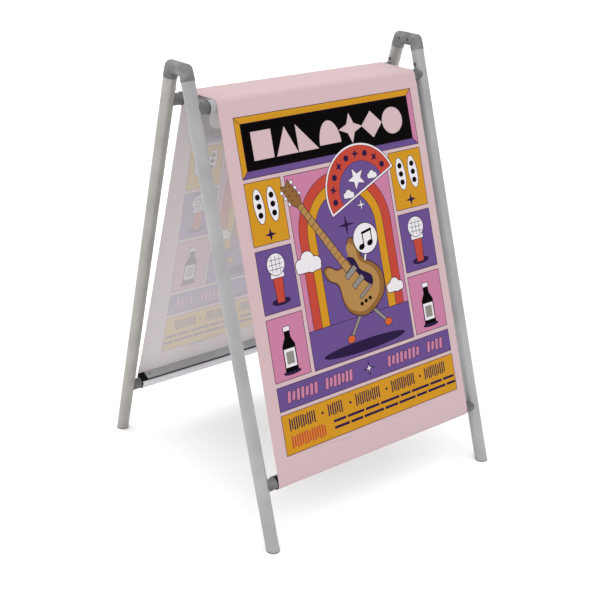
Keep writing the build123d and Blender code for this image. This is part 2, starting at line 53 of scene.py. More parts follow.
fold = next(joint for joint in frame["joints"] if joint["name"] == "frame_fold")
SPLAY = math.radians(fold["range_deg"][1]) / 2          # lean of each frame from upright
UP_THE_LEG = Vector((0, math.sin(SPLAY), math.cos(SPLAY)))
OUT_OF_FRONT = Vector((0, -math.cos(SPLAY), math.sin(SPLAY)))


def middle(node):
    """Middle of a CAD node's box."""
    low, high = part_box(node)
    return (low + high) / 2


def reach(node, direction):
    """Lowest and highest reach of a CAD node along a direction."""
    along = [vertex.co.dot(direction) for vertex in frame["nodes"][node].data.vertices]
    return min(along), max(along)


def height_to_station(height):
    """Distance up the leg's axis, from the sole, of a point at this height."""
    return height / math.cos(SPLAY)


# ---------------------------------------------------------------------------------------------
# Camera, floor and light
# ---------------------------------------------------------------------------------------------

CAMERA_AT = Vector((-1.62363, -2.13028, 1.56097))
CAMERA_AZIMUTH = math.radians(-37.3424)
CAMERA_ELEVATION = math.radians(21.0016)
CAMERA_ROLL = math.radians(0.5691)
CAMERA_LENS = 67.252        # mm
CAMERA_SENSOR = 36          # mm
CAMERA_SHIFT = -0.0667      # up or down, as a share of the picture's side
CAMERA_FAR = 100            # metres that the camera sees

SURROUND = 0.95             # strength of the even white surround
KEY_FROM = Vector((-0.2, -0.08, 0.98))
KEY_STRENGTH = 1.2
KEY_COLOUR = (1.0, 0.99, 0.975)
BACK_FROM = Vector((-0.15, 0.5, 0.85))
BACK_STRENGTH = 0.56
LIGHT_ANGLE = 1.5           # radians across, so the shadows are very soft
FLOOR = 40                  # from the middle to each side


def make_camera():
    """A camera at the three-quarter view, aimed by its azimuth, elevation and roll."""
    data = bpy.data.cameras.new("camera")
    data.lens = CAMERA_LENS
    data.sensor_width = CAMERA_SENSOR
    data.shift_y = CAMERA_SHIFT
    data.dof.use_dof = False
    data.clip_end = CAMERA_FAR
    camera = bpy.data.objects.new("camera", data)
    bpy.context.scene.collection.objects.link(camera)
    forward = Vector((
        -math.sin(CAMERA_AZIMUTH) * math.cos(CAMERA_ELEVATION),
        math.cos(CAMERA_AZIMUTH) * math.cos(CAMERA_ELEVATION),
        -math.sin(CAMERA_ELEVATION),
    ))
    right = forward.cross(Vector((0, 0, 1))).normalized()
    up = right.cross(forward)
    rolled_right = math.cos(CAMERA_ROLL) * right + math.sin(CAMERA_ROLL) * up
    rolled_up = math.cos(CAMERA_ROLL) * up - math.sin(CAMERA_ROLL) * right
    turn = Matrix((rolled_right, rolled_up, -forward)).transposed()
    camera.matrix_world = Matrix.Translation(CAMERA_AT) @ turn.to_4x4()
    bpy.context.scene.camera = camera


def make_light(name, came_from, strength, colour=(1, 1, 1)):
    """A broad distant light."""
    data = bpy.data.lights.new(name, "SUN")
    data.energy = strength
    data.angle = LIGHT_ANGLE
    data.color = colour
    light = bpy.data.objects.new(name, data)
    bpy.context.scene.collection.objects.link(light)
    light.rotation_euler = (-came_from).to_track_quat("-Z", "Y").to_euler()


def make_studio():
    """A white floor in an even white surround, a broad light overhead and one behind the board."""
    scene = bpy.context.scene
    scene.view_settings.view_transform = "Standard"
    world = bpy.data.worlds.new("studio")
    world.use_nodes = True
    surround = world.node_tree.nodes["Background"]
    surround.inputs["Color"].default_value = (1, 1, 1, 1)
    surround.inputs["Strength"].default_value = SURROUND
    scene.world = world
    make_light("key", KEY_FROM, KEY_STRENGTH, KEY_COLOUR)
    make_light("back", BACK_FROM, BACK_STRENGTH)

    corners = [(-FLOOR, -FLOOR, 0), (FLOOR, -FLOOR, 0), (FLOOR, FLOOR, 0), (-FLOOR, FLOOR, 0)]
    mesh = bpy.data.meshes.new("floor")
    mesh.from_pydata(corners, [], [(0, 1, 2, 3)])
    floor = bpy.data.objects.new("floor", mesh)
    scene.collection.objects.link(floor)
    paint = Surface("studio_floor", (253, 253, 253), roughness=0.9)
    paint.vary_roughness(paint.noise(3), 0.85, 0.95)
    mesh.materials.append(paint.material)


# ---------------------------------------------------------------------------------------------
# Materials. Colours are screen colours, 0 to 255; depths and pitches are in metres.
# ---------------------------------------------------------------------------------------------

BLACK, WHITE = (0, 0, 0), (255, 255, 255)
THREAD = 0.0009               # pitch of the cloth's weave
WAVE_PERIOD = math.pi / 10    # what a wave texture of scale 1 repeats after


def linear(colour):
    """A screen colour as the shader's linear colour."""
    parts = [c / 255 for c in colour]
    return tuple(c / 12.92 if c <= 0.04045 else ((c + 0.055) / 1.055) ** 2.4 for c in parts) + (1.0,)


def mixed(colour, other, share):
    """A screen colour moved towards another by a share."""
    return tuple(a + (b - a) * share for a, b in zip(colour, other))


class Surface:
    """A Principled material and the few ways this board's materials are textured."""

    def __init__(self, name, colour, roughness, metallic=0.0, **sockets):
        self.material = bpy.data.materials.new(name)
        self.material.use_nodes = True
        self.tree = self.material.node_tree
        self.shader = self.tree.nodes["Principled BSDF"]
        self.shader.inputs["Base Color"].default_value = linear(colour)
        self.shader.inputs["Roughness"].default_value = roughness
        self.shader.inputs["Metallic"].default_value = metallic
        for socket, value in sockets.items():
            self.shader.inputs[socket.replace("_", " ")].default_value = value
        self.normal = None
        self.material.diffuse_color = linear(colour)

    def node(self, kind, **inputs):
        """A new node with these inputs set."""
        made = self.tree.nodes.new(kind)
        for socket, value in inputs.items():
            made.inputs[socket.replace("_", " ")].default_value = value
        return made

    def noise(self, scale, detail=2.0, stretch=(1, 1, 1), tilt=0.0):
        """Noise of scale features a metre, drawn out by stretch along axes tilted about X."""
        place = self.node("ShaderNodeTexCoord")
        mapping = self.node("ShaderNodeMapping")
        mapping.vector_type = "TEXTURE"
        mapping.inputs["Rotation"].default_value = (tilt, 0, 0)
        mapping.inputs["Scale"].default_value = stretch
        texture = self.node("ShaderNodeTexNoise", Scale=scale, Detail=detail)
        self.tree.links.new(place.outputs["Object"], mapping.inputs["Vector"])
        self.tree.links.new(mapping.outputs["Vector"], texture.inputs["Vector"])
        return texture.outputs["Fac"]

    def vary_colour(self, mask, low, high, start=0.35, end=0.65):
        """Blends from one colour to another as the mask goes from start to end."""
        ramp = self.node("ShaderNodeValToRGB")
        ramp.color_ramp.elements[0].position = start
        ramp.color_ramp.elements[1].position = end
        ramp.color_ramp.elements[0].color = linear(low)
        ramp.color_ramp.elements[1].color = linear(high)
        self.tree.links.new(mask, ramp.inputs["Fac"])
        self.tree.links.new(ramp.outputs["Color"], self.shader.inputs["Base Color"])

    def vary_roughness(self, mask, low, high):
        """Spreads the middle of the mask over this range of roughness."""
        spread = self.node("ShaderNodeMapRange", From_Min=0.3, From_Max=0.7, To_Min=low, To_Max=high)
        self.tree.links.new(mask, spread.inputs["Value"])
        self.tree.links.new(spread.outputs["Result"], self.shader.inputs["Roughness"])

    def add_bump(self, height, depth, strength=1.0):
        """Bumps of this depth in metres, on top of any bumps already there."""
        bump = self.node("ShaderNodeBump", Strength=strength, Distance=depth)
        self.tree.links.new(height, bump.inputs["Height"])
        if self.normal:
            self.tree.links.new(self.normal, bump.inputs["Normal"])
        self.normal = bump.outputs["Normal"]
        self.tree.links.new(self.normal, self.shader.inputs["Normal"])


def brushed_aluminium(name, tone, along):
    """Satin anodised tube: fine lines drawn along it and a slow drift of tone."""
    surface = Surface(name, tone, roughness=0.55, metallic=0.65, Coat_Weight=0.3, Coat_Roughness=0.3)
    stretch, tilt = along
    lines = surface.noise(900, 2, stretch, tilt)
    drift = surface.noise(9, 3)
    surface.vary_colour(drift, mixed(tone, BLACK, 0.04), mixed(tone, WHITE, 0.06))
    surface.vary_roughness(lines, 0.5, 0.6)
    surface.add_bump(lines, 0.00002)
    return surface.material


def moulded_plastic(name, tone, roughness=0.5, grain=1400, depth=0.00004, wear=0.12, shine=0.3):
    """Fine-textured moulding with a faint cloudiness in its colour."""
    surface = Surface(name, tone, roughness=roughness, Specular_IOR_Level=shine)
    cloud = surface.noise(28, 4)
    texture = surface.noise(grain, 2)
    surface.vary_colour(cloud, mixed(tone, BLACK, wear), mixed(tone, WHITE, wear))
    surface.vary_roughness(texture, roughness - 0.06, roughness + 0.08)
    surface.add_bump(texture, depth)
    return surface.material


def steel(name, tone, roughness=0.35):
    """Plated steel with a fine grain and darker patches."""
    surface = Surface(name, tone, roughness=roughness, metallic=1.0)
    grain = surface.noise(600, 3)
    surface.vary_colour(surface.noise(120, 2), mixed(tone, BLACK, 0.15), tone)
    surface.vary_roughness(grain, roughness - 0.08, roughness + 0.1)
    surface.add_bump(grain, 0.00001)
    return surface.material


def cloth_material(name, colour):
    """Printed polyester: a fine plain weave that follows the cloth, slubs and a little subsurface
    scattering.
    """
    surface = Surface(name, colour, roughness=0.6, Specular_IOR_Level=0.03,
                      Subsurface_Weight=0.11, Subsurface_Scale=0.002)
    cloth = surface.node("ShaderNodeUVMap")
    cloth.uv_map = "cloth"
    heights = []
    for direction in ("X", "Y"):
        threads = surface.node("ShaderNodeTexWave", Scale=WAVE_PERIOD / THREAD)
        threads.bands_direction = direction
        surface.tree.links.new(cloth.outputs["UV"], threads.inputs["Vector"])
        heights.append(threads.outputs["Fac"])
    weave = surface.node("ShaderNodeMath")
    weave.operation = "MULTIPLY"
    for k, height in enumerate(heights):
        surface.tree.links.new(height, weave.inputs[k])
    slubs = surface.noise(160, 3)
    surface.vary_roughness(slubs, 0.54, 0.68)
    surface.add_bump(weave.outputs["Value"], 0.00003)
    surface.add_bump(slubs, 0.00006)
    return surface.material


LINE_STRETCH = 60             # brushed lines are this much longer than they are wide
ALONG_X = ((LINE_STRETCH, 1, 1), 0.0)
ALONG_FRONT_LEG = ((1, 1, LINE_STRETCH), -SPLAY)
ALONG_REAR_LEG = ((1, 1, LINE_STRETCH), SPLAY)


def dress_frame():
    """Gives every carried-over CAD node the first look whose word is in its name."""
    # The rear legs are the same tube as the front legs; their tone is made a little warmer and darker as
    # painted warm shade, because they face away from the key light.
    tube, rear_tube_painted_warm_shade = (160, 160, 162), (159, 156, 152)
    looks = {
        "front_leg": brushed_aluminium("anodised_front_leg", tube, ALONG_FRONT_LEG),
        # The rear legs' look carries that painted warm shade in its colour.
        "rear_leg": brushed_aluminium("anodised_rear_leg_painted_warm_shade", rear_tube_painted_warm_shade, ALONG_REAR_LEG),
        "top_bar": brushed_aluminium("anodised_bar", tube, ALONG_X),
        "bottom_rail": brushed_aluminium("anodised_rail", (184, 186, 188), ALONG_X),
        "bolts": steel("bolt_steel", (120, 121, 123), 0.4),
        "elbow": moulded_plastic("elbow_plastic", (105, 107, 109)),
        "saddle": moulded_plastic("saddle_plastic", (92, 93, 92), 0.46),
        "foot": moulded_plastic("foot_plastic", (84, 86, 88), 0.6, grain=700, wear=0.25),
        "plug": moulded_plastic("bar_plug_plastic", (58, 59, 60), 0.5),
        "cap": moulded_plastic("rail_cap_plastic", (9, 9, 10), 0.5, wear=0.03, shine=0.1),
        "button": steel("button_steel", (96, 97, 98), 0.4),
        "spring": steel("spring_steel", (176, 177, 180), 0.3),
        "pin": steel("pin_steel", (70, 70, 72), 0.4),
        "tie_screws": steel("tie_screw_steel", (64, 64, 66), 0.4),
        "screws": steel("screw_steel", (168, 169, 170), 0.35),
        "nuts": steel("nut_steel", (186, 182, 160), 0.4),
        "spline": moulded_plastic("spline_rubber", (6, 6, 7), 0.65, grain=900, wear=0.03, shine=0.1),
    }
    for name, node in frame["nodes"].items():
        look = next((looks[word] for word in looks if word in name), None)
        if look:
            node.data.materials.clear()
            node.data.materials.append(look)


# ---------------------------------------------------------------------------------------------
# The banner's path: half of it, from the middle of the top down to the tail in the front rail.
# Profile points are (out, station): outward from the leg's axis plane, and up along the leg.
# ---------------------------------------------------------------------------------------------

BANNER_WIDTH = 0.610
CLOTH_THICKNESS = 0.0006
CLOTH_GAP = 0.0001            # between the cloth and the bar or rail under it
BAR_BEND_STEPS = 16
RAIL_BEND_STEPS = 20
TOP_STEPS = 12
RAIL_INNER_RISE = 0.012       # the rail's inner lip above its round middle
RAIL_LIP = 0.0034             # thickness of that lip, which the tail goes over into the groove
LIP_BEND = 0.0006
LIP_BEND_STEPS = 3
TAIL_DEPTH = 0.0022           # how far the tail reaches down into the groove

BAR = middle("front_top_bar")
BAR_STATION = height_to_station(BAR.z)
BAR_RADIUS = BAR.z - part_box("front_top_bar")[0].z
SOLE = BAR - BAR_STATION * UP_THE_LEG       # where the leg's axis plane meets the ground
RAIL_DEPTH = reach("front_bottom_rail", OUT_OF_FRONT)
RAIL_RADIUS = (RAIL_DEPTH[1] - RAIL_DEPTH[0]) / 2
RAIL_STATION = reach("front_bottom_rail", UP_THE_LEG)[0] + RAIL_RADIUS - SOLE.dot(UP_THE_LEG)
CLOTH_LIFT = CLOTH_GAP + CLOTH_THICKNESS / 2


def arc(centre, radius, start, end, steps):
    """Points of an arc in (out, station) after its first, with angles in degrees from straight out."""
    angles = [math.radians(start + (end - start) * step / steps) for step in range(1, steps + 1)]
    return [(centre[0] + radius * math.cos(a), centre[1] + radius * math.sin(a)) for a in angles]


def in_section(point):
    """A profile point (out, station) as (y, z)."""
    place = SOLE + point[0] * OUT_OF_FRONT + point[1] * UP_THE_LEG
    return place.y, place.z


def half_profile():
    """Distance from the middle of the top, y, z and outward normal along the banner's front half."""
    on_bar = BAR_RADIUS + CLOTH_LIFT
    on_rail = RAIL_RADIUS + CLOTH_LIFT
    lip_top = RAIL_STATION + RAIL_INNER_RISE + CLOTH_LIFT - LIP_BEND
    tail_out = RAIL_LIP + CLOTH_LIFT - RAIL_RADIUS
    level = [(BAR.y * step / TOP_STEPS, BAR.z + on_bar) for step in range(TOP_STEPS + 1)]
    bar_bend = arc((0, BAR_STATION), on_bar, 90 - math.degrees(SPLAY), 0, BAR_BEND_STEPS)
    rail_bend = arc((0, RAIL_STATION), on_rail, 0, -180, RAIL_BEND_STEPS)
    lip_bend = arc((LIP_BEND - on_rail, lip_top), LIP_BEND, 180, 90, LIP_BEND_STEPS)
    groove_bend = arc((tail_out - LIP_BEND, lip_top), LIP_BEND, 90, 0, LIP_BEND_STEPS)
    bent = bar_bend + [(on_rail, RAIL_STATION)] + rail_bend + [(-on_rail, lip_top)] + lip_bend
    bent += [(tail_out - LIP_BEND, lip_top + LIP_BEND)] + groove_bend + [(tail_out, lip_top - TAIL_DEPTH)]
    points = np.array(level + [in_section(point) for point in bent])
    steps = np.diff(points, axis=0)
    lengths = np.hypot(*steps.T)
    sides = np.column_stack((steps[:, 1], -steps[:, 0])) / lengths[:, None]
    normals = np.vstack((sides[:1], sides[:-1] + sides[1:], sides[-1:]))
    normals /= np.hypot(*normals.T)[:, None]
    normals[0] = (0, 1)
    distance = np.concatenate(([0], np.cumsum(lengths)))
    return distance, points, normals


DISTANCE, PROFILE, NORMALS = half_profile()
AT_BAR = DISTANCE[TOP_STEPS + BAR_BEND_STEPS]
AT_RAIL = DISTANCE[TOP_STEPS + BAR_BEND_STEPS + 1]

LEFT_PULL = 0.016             # the left edge is drawn in this far at the top
TOP_SAG = 0.0012              # of the strip between the bars
PANEL_SWELL = 0.0011          # slow waves across each panel
HEM_RIPPLE = 0.0009           # shorter waves just above the rail
BAR_PUCKER = 0.0005           # small gathers where the cloth turns over the bar


def slack(x, distance, side):
    """How far the cloth stands proud of its taut path. It never goes inside it, so it clears the bars.

    Each set of waves is two sines across the sheet, in radians a metre, that don't fall in step.
    """
    down = np.clip((distance - AT_BAR) / (AT_RAIL - AT_BAR), 0, 1)
    panel = np.sin(math.pi * down) ** 0.8
    swell = 1 + 0.6 * np.sin(21 * x + 1.3 * side + 3.1 * down) + 0.4 * np.sin(9 * x - 5.2 * down + side)
    ripple = 1 + np.sin(47 * x + 2.1 * side) * 0.6 + 0.4 * np.sin(83 * x + 1.7)
    near_rail = np.exp(-((down - 0.955) / 0.03) ** 2)
    pucker = 1 + 0.6 * np.sin(112 * x + side) + 0.4 * np.sin(187 * x + 2.2 * side)
    near_bar = np.exp(-((distance - AT_BAR + 0.004) / 0.016) ** 2)
    return PANEL_SWELL * panel * swell + HEM_RIPPLE * near_rail * ripple + BAR_PUCKER * near_bar * pucker


def cloth_points(x, distance, side, skin):
    """Places of cloth points. Side is -1 in front and 1 behind; skin is 1 outside and -1 inside."""
    along = np.array([np.interp(distance, DISTANCE, PROFILE[:, k]) for k in range(2)])
    normal = np.array([np.interp(distance, DISTANCE, NORMALS[:, k]) for k in range(2)])
    normal /= np.hypot(*normal)
    risen = np.clip((AT_RAIL - distance) / (AT_RAIL - AT_BAR), 0, 1)
    half = BANNER_WIDTH / 2
    drawn = LEFT_PULL * np.clip(-x / half, 0, 1)
    risen = np.where(side > 0, 1 - (1 - risen) ** 2, risen)
    level = np.clip(1 - distance / abs(BAR.y), 0, 1)
    sag = TOP_SAG * (1 - (1 - level) ** 2) * (1 - (2 * x / BANNER_WIDTH) ** 4 * 0.5)
    out = slack(x, distance, side) + skin * CLOTH_THICKNESS / 2 - sag
    y, z = along + normal * out
    return np.column_stack((x + drawn * risen, -side * y, z))


# ---------------------------------------------------------------------------------------------
# The print. Its shapes are laid one over the other, in mm on the flat panel: x from the panel's
# middle to the right, y up along the leg from the sole.
# ---------------------------------------------------------------------------------------------

CLOTH_BACK = (201, 203, 204)  # the inner skin, where the print shows faintly
GHOST_PALING = 0.5            # how far an ink there goes towards white
GHOST_FADING = 0.64           # and then towards the cloth's back
INKS = {
    "cloth": (188, 165, 169),
    "hem": (208, 206, 212),   # unprinted, from under the rail to the groove
    "line": (44, 28, 46),
    "black": (4, 1, 3),
    "white": (208, 205, 210),
    "mustard": (184, 132, 32),
    "purple": (93, 71, 126),
    "hot_pink": (177, 114, 144),
    "red": (171, 64, 51),
    "plum": (36, 23, 58),
    "tan": (158, 121, 71),
    "brown": (128, 90, 48),
    "orange": (186, 88, 44),
    "grey": (128, 124, 118),
}


class Print:
    """Shapes of ink, in the order in which they are laid."""

    def __init__(self):
        self.shapes = []

    def lay(self, ink, points, line=0.0):
        """A filled outline, with a dark line of this width round it."""
        area = sum(a[0] * b[1] - b[0] * a[1] for a, b in zip(points, points[1:] + points[:1]))
        points = points if area > 0 else points[::-1]
        if line:
            self.shapes.append(("line", grown(points, line)))
        self.shapes.append((ink, points))

    def box(self, ink, left, low, right, high, line=0.0):
        """An upright rectangle."""
        self.lay(ink, [(left, low), (right, low), (right, high), (left, high)], line)

    def disc(self, ink, x, y, radius, tall=1.0, turn=0.0, line=0.0, sides=32):
        """A disc, or an oval where tall isn't 1."""
        self.lay(ink, placed(ellipse(radius, radius * tall, sides), x, y, turn), line)

    def stroke(self, ink, points, width, line=0.0):
        """A thick line with round ends and joints."""
        for extra, colour in ((line, "line"), (0, ink)):
            if colour == ink or line:
                for start, end in zip(points, points[1:]):
                    self.lay(colour, capsule(start, end, width / 2 + extra))

    def star(self, ink, x, y, size, points=4, waist=0.2, turn=0.0, line=0.0):
        """A star whose inner corners are at a share, waist, of its size."""
        corners = [
            turned((0, size if k % 2 == 0 else size * waist), 180 * k / points + turn)
            for k in range(2 * points)
        ]
        self.lay(ink, [(x + a, y + b) for a, b in corners], line)

    def cloud(self, x, y, width, line=2.0):
        """Four overlapping puffs, each (across, up, radius) as shares of the width, on a flat foot."""
        puffs = ((-0.31, 0.13, 0.19), (-0.02, 0.26, 0.26), (0.29, 0.12, 0.2), (0.12, 0.06, 0.2))
        for ink, extra in (("line", line), ("white", 0)):
            for across, up, radius in puffs:
                self.disc(ink, x + across * width, y + up * width, radius * width + extra)
            self.lay(ink, capsule((x - width * 0.38, y), (x + width * 0.38, y), width * 0.1 + extra))


def turned(point, degrees):
    """A point turned about the origin."""
    a = math.radians(degrees)
    return point[0] * math.cos(a) - point[1] * math.sin(a), point[0] * math.sin(a) + point[1] * math.cos(a)


def placed(points, x, y, degrees=0.0):
    """Points turned about the origin and moved to (x, y)."""
    return [(x + a, y + b) for a, b in (turned(point, degrees) for point in points)]


def ellipse(across, tall, sides):
    """An oval about the origin, with these half widths."""
    angles = [2 * math.pi * k / sides for k in range(sides)]
    return [(across * math.cos(a), tall * math.sin(a)) for a in angles]


def capsule(start, end, radius, steps=6):
    """A straight bar with round ends."""
    heading = math.degrees(math.atan2(end[1] - start[1], end[0] - start[0]))
    cap = [turned((radius, 0), 180 * k / steps - 90) for k in range(steps + 1)]
    return placed(cap, *end, heading) + placed(cap, *start, heading + 180)


def grown(points, by):
    """An outline moved outward by a distance, with mitred corners."""
    result = []
    for before, here, after in zip(points[-1:] + points[:-1], points, points[1:] + points[:1]):
        first = Vector((here[1] - before[1], before[0] - here[0])).normalized()
        second = Vector((after[1] - here[1], here[0] - after[0])).normalized()
        mitre = (first + second) / max(0.35, 1 + first.dot(second))
        result.append((here[0] + mitre.x * by, here[1] + mitre.y * by))
    return result


def smooth(points, steps=5):
    """A closed curve through the points."""
    count = len(points)
    curve = []
    for k in range(count):
        a, b, c, d = (Vector(points[(k + j) % count]) for j in (-1, 0, 1, 2))
        for step in range(steps):
            t = step / steps
            place = b + (c - a) * t / 2 + (2 * a - 5 * b + 4 * c - d) * t * t / 2
            place += (3 * b - a - 3 * c + d) * t ** 3 / 2
            curve.append((place.x, place.y))
    return curve


def doorway(x, half, floor, spring, steps=28):
    """An upright with a round top."""
    top = [turned((half, 0), 180 * k / steps) for k in range(steps + 1)]
    return [(x - half, floor), (x + half, floor)] + placed(top, x, spring)


PRINT_LEFT, PRINT_RIGHT = -269, 280
PRINT_WIDTH = PRINT_RIGHT - PRINT_LEFT
PRINT_FOOT = 257              # the middle of the lowest band
PRINT_HEIGHT = 669            # from there to the header's middle
HEADER = (857, 995.5)
HEADER_BEVEL = 16
TILE_WIDTH = 104
TILE_ROWS = {"mustard": (702, 846), "purple": (543, 689), "hot_pink": (383, 530)}
STAGE = (-152, 381, 165, 845)
PURPLE_BAND = (315, 370)
MUSTARD_BAND = (210, 304)
OUTLINE = 1.5


def print_header(art):
    """A bevelled black board with seven plain solid shapes."""
    low, high = HEADER
    left, right = PRINT_LEFT, PRINT_RIGHT
    outer = [(left, low), (right, low), (right, high), (left, high)]
    inset = HEADER_BEVEL
    inner = [
        (left + inset, low + inset),
        (right - inset, low + inset),
        (right - inset, high - inset),
        (left + inset, high - inset),
    ]
    art.box("mustard", left, low, right, high, OUTLINE)
    art.lay("purple", [outer[0], outer[1], inner[1], inner[0]])
    art.lay("hot_pink", [outer[1], outer[2], inner[2], inner[1]])
    for outer_corner, inner_corner in zip(outer, inner):
        art.stroke("line", [outer_corner, inner_corner], OUTLINE)
    art.lay("black", inner, OUTLINE)
    middle_y = (low + high) / 2
    size, pitch = 33, 67
    first = (left + right) / 2 - 3 * pitch
    spots = [(first + k * pitch, middle_y) for k in range(7)]
    art.box("cloth", spots[0][0] - size, middle_y - size, spots[0][0] + size * 0.8, middle_y + size)
    art.lay("cloth", placed([(-size, -size), (size, -size), (0, size)], *spots[1]))
    art.lay("cloth", placed([(-size, -size), (size * 0.9, -size), (-size, size)], *spots[2]))
    dome = [turned((size, 0), 180 * k / 24) for k in range(25)]
    art.lay("cloth", placed([(a, 1.7 * b - 0.85 * size) for a, b in dome], *spots[3]))
    art.star("cloth", *spots[4], size * 1.12, points=4, waist=0.42)
    art.lay("cloth", placed([(0, -size), (size, 0), (0, size), (-size, 0)], *spots[5]))
    art.disc("cloth", *spots[6], size)


def print_ovals(art, x, low, high):
    """A pair of tall ovals with three dots each, over a small star."""
    for across in (-20, 20):
        art.disc("white", x + across, high - 56, 14, 2.9, 4, line=1.6)
        for k in (-1, 0, 1):
            art.disc("black", x + across - k, high - 56 + 21 * k, 7)
    art.star("plum", x, low + 20, 17, waist=0.3)


def print_microphone(art, x, low, high):
    """A plain round-headed microphone standing on its own shadow."""
    art.disc("plum", x, low + 22, 27, 0.32)
    art.lay("red", placed([(-10, 0), (10, 0), (14, 62), (-14, 62)], x, low + 20), OUTLINE)
    art.box("white", x - 19, low + 78, x + 19, low + 88, OUTLINE)
    art.disc("white", x, high - 37, 25, line=1.6)
    for k in (-1, 0, 1):
        art.stroke("line", [(x - 19, high - 37 + 11 * k), (x + 19, high - 37 + 11 * k)], 1.3)
        art.stroke("line", [(x + 11 * k, high - 56), (x + 11 * k, high - 18)], 1.3)


def print_bottle(art, x, low, high):
    """A plain dark bottle with a pale label."""
    art.disc("plum", x, low + 14, 26, 0.22)
    body = [(-19, 0), (19, 0), (19, 62), (9, 80), (8, 106), (-8, 106), (-9, 80), (-19, 62)]
    art.lay("black", placed(body, x, low + 16))
    art.box("white", x - 16, low + 27, x + 16, low + 70)
    art.box("grey", x - 11, low + 34, x + 11, low + 63)
    art.box("white", x - 9, low + 112, x + 9, low + 122, OUTLINE)


def print_tiles(art):
    """Three framed pictures down each side."""
    contents = {"mustard": print_ovals, "purple": print_microphone, "hot_pink": print_bottle}
    for left in (PRINT_LEFT, PRINT_RIGHT - TILE_WIDTH):
        for ink, (low, high) in TILE_ROWS.items():
            art.box(ink, left, low, left + TILE_WIDTH, high, OUTLINE)
            contents[ink](art, left + TILE_WIDTH / 2, low, high)


def print_stage(art):
    """The middle picture: an arch of three bands, clouds, stars and a guitar on a stand."""
    left, low, right, high = STAGE
    art.box("hot_pink", left, low, right, high, OUTLINE)
    floor, spring, centre = 473.4, 690, 7
    for ink, half in (("red", 143), ("mustard", 117), ("purple", 93)):
        art.lay(ink, doorway(centre, half, floor, spring), OUTLINE)
    art.box("purple", left, low, right, floor, OUTLINE)
    art.disc("plum", 10, 402, 130, 0.11)
    art.star("plum", 10.6, 700, 27)
    art.star("white", 66, 739, 13, line=1.0)
    art.star("plum", 64, 498, 20)
    print_guitar_stand(art)
    print_guitar(art)
    art.cloud(-122, 622, 78)
    art.cloud(131, 514, 54)
    print_note(art)


def print_note(art):
    """A pair of joined notes in a white disc on a short stem."""
    x, y = 62, 657
    art.stroke("white", [(x - 4, y - 27), (x - 12, y - 51)], 5, 1.6)
    art.disc("white", x, y, 37, line=1.8)
    for across in (-15, 12):
        rise = across * 0.2
        art.disc("black", x + across, y - 16 + rise, 9.5, 0.74, 20)
        art.stroke("black", [(x + 7 + across, y - 14), (x + 7 + across, y + 17 + rise)], 3.2)
    art.stroke("black", [(x - 8, y + 14), (x + 19, y + 19)], 6.5)


def print_guitar_stand(art):
    """Two straight legs with round tips."""
    for foot in ((-30, 426), (92, 440)):
        art.stroke("grey", [(30, 506), foot], 7, OUTLINE)
        art.disc("orange", *foot, 11, 0.8, line=OUTLINE)


def print_guitar(art):
    """A plain electric guitar with two horns, leaning back."""
    half = [
        (0, -80), (40, -72), (66, -40), (67, -6), (52, 28),
        (50, 46), (62, 70), (56, 96), (40, 92), (28, 70),
    ]
    mirrored = [(-a, b) for a, b in half[:0:-1]]
    body = smooth(half + [(10, 62), (-10, 62)] + mirrored)
    x, y, lean = 20, 556, 33

    def lay(ink, points, line=0.0):
        art.lay(ink, placed(points, x, y, lean), line)

    lay("brown", body, 2.4)
    lay("tan", [(a * 0.87 - 4, b * 0.9 + 4) for a, b in body])
    lay("plum", smooth([(14, 66), (30, 52), (26, 20), (40, -14), (26, -34), (14, 0)]))
    for k in range(3):
        lay("black", placed(ellipse(5, 5, 16), -30 + 14 * k, -44 - 4 * k))
    for height in (28, -4):
        lay("grey", [(-19, height), (19, height), (19, height + 13), (-19, height + 13)], OUTLINE)
    lay("grey", [(-22, -34), (22, -34), (22, -27), (-22, -27)], OUTLINE)
    neck_end, fret_count, fret_pitch = 262, 12, 16
    lay("tan", [(-10, 44), (10, 44), (7.5, neck_end), (-7.5, neck_end)], 1.8)
    for k in range(fret_count):
        height = 68 + k * fret_pitch
        lay("line", [(-9, height), (9, height), (9, height + 1.3), (-9, height + 1.3)])
    for side in (-1, 1):
        for k in range(3):
            lay("white", placed(ellipse(4.4, 4.4, 12), side * 19, neck_end + 17 + 17 * k), 1.2)
    lay("brown", [(-8, neck_end - 3), (8, neck_end - 3), (16, neck_end + 12), (13, neck_end + 62),
                  (0, neck_end + 54), (-13, neck_end + 62), (-16, neck_end + 12)], 1.8)
    for side in (-1, 1):
        for k in range(3):
            lay("plum", placed(ellipse(2, 2, 10), side * 8, neck_end + 17 + 15 * k))


def print_badge(art):
    """A tilted half-disc badge over the header's lower edge."""
    x, y, tilt, radius = 77.8, 774.6, 23, 108

    def half_disc(size, steps=32):
        return placed([turned((size, 0), 180 * k / steps) for k in range(steps + 1)], x, y, tilt)

    art.lay("white", grown(half_disc(radius), 5), 1.6)
    art.lay("red", half_disc(radius), 0.8)
    art.lay("purple", half_disc(70), 0.8)
    for k in range(9):
        spot = placed([turned((89, 0), 12 + 19.5 * k)], x, y, tilt)[0]
        if k % 2:
            art.star("plum", *spot, 12, waist=0.36, turn=tilt + 19.5 * k)
        else:
            art.disc("plum", *spot, 7.5)
    centre = placed([(0, 32)], x, y, tilt)[0]
    art.star("white", *centre, 27, points=5, waist=0.42, turn=tilt, line=1.6)
    art.cloud(*placed([(-44, 8)], x, y, tilt)[0], 32, 1.4)
    art.cloud(*placed([(44, 9)], x, y, tilt)[0], 30, 1.4)


